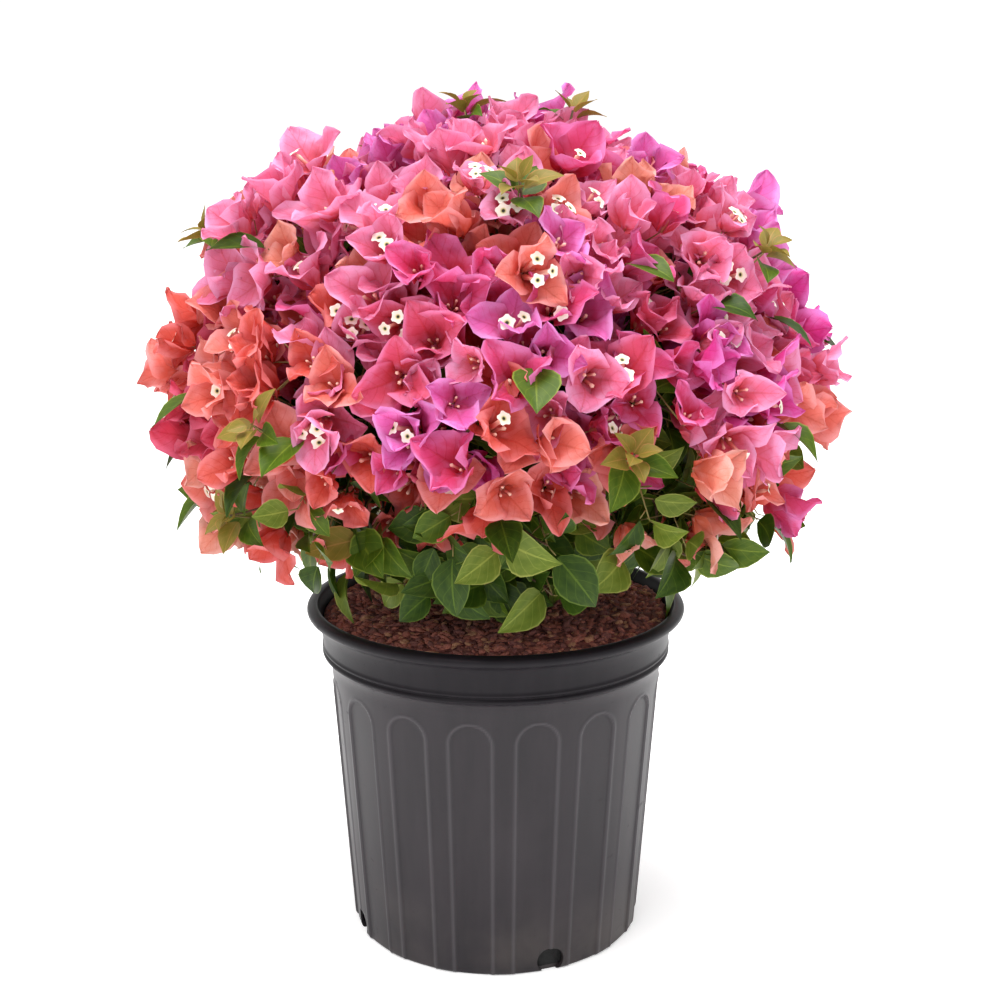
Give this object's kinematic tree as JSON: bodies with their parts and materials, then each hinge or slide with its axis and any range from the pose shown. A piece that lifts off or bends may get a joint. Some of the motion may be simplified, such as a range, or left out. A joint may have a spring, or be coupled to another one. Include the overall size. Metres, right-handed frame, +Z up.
{
  "type": "potted bougainvillea bush",
  "caption": "Low domed bougainvillea bush with pink and coral bracts in a black fluted nursery pot filled with bark mix.",
  "frame": {"origin": "middle of the pot's flat underside, on the ground", "axes": "+Z up along the pot's axis; -Y is the front of the bush, +X its right as seen from the front"},
  "size_m": [0.5095, 0.4972, 0.6233],
  "materials": {
    "pot_plastic": "satin charcoal-black moulded plastic",
    "potting_mix": "damp dark red-brown bark chips",
    "bark": "rough grey-brown bark",
    "bracts": "papery pink, magenta and coral bracts with small cream flowers",
    "leaves": "soft green leaves"
  },
  "bodies": {
    "root": {"bough_to_crown_top": "bark", "bough_to_middle_mass_1": "bark", "bough_to_middle_mass_2": "bark", "bough_to_middle_mass_3": "bark", "bough_to_middle_mass_4": "bark", "bough_to_middle_mass_5": "bark", "bough_to_middle_mass_6": "bark", "bough_to_middle_mass_7": "bark", "bough_to_middle_mass_8": "bark", "bough_to_upper_mass_1": "bark", "bough_to_upper_mass_2": "bark", "bough_to_upper_mass_3": "bark", "bough_to_upper_mass_4": "bark", "bough_to_upper_mass_5": "bark", "crown_top": "bracts", "leaf_skirt_1": "leaves", "leaf_skirt_2": "leaves", "leaf_skirt_3": "leaves", "leaf_skirt_4": "leaves", "lower_mass_1": "bracts", "lower_mass_2": "bracts", "lower_mass_3": "bracts", "lower_mass_4": "bracts", "lower_mass_5": "bracts", "lower_mass_6": "bracts", "lower_mass_7": "bracts", "lower_mass_8": "bracts", "middle_mass_1": "bracts", "middle_mass_2": "bracts", "middle_mass_3": "bracts", "middle_mass_4": "bracts", "middle_mass_5": "bracts", "middle_mass_6": "bracts", "middle_mass_7": "bracts", "middle_mass_8": "bracts", "pot": "pot_plastic", "potting_mix": "potting_mix", "trunk": "bark", "upper_mass_1": "bracts", "upper_mass_2": "bracts", "upper_mass_3": "bracts", "upper_mass_4": "bracts", "upper_mass_5": "bracts"}
  },
  "joints": []
}
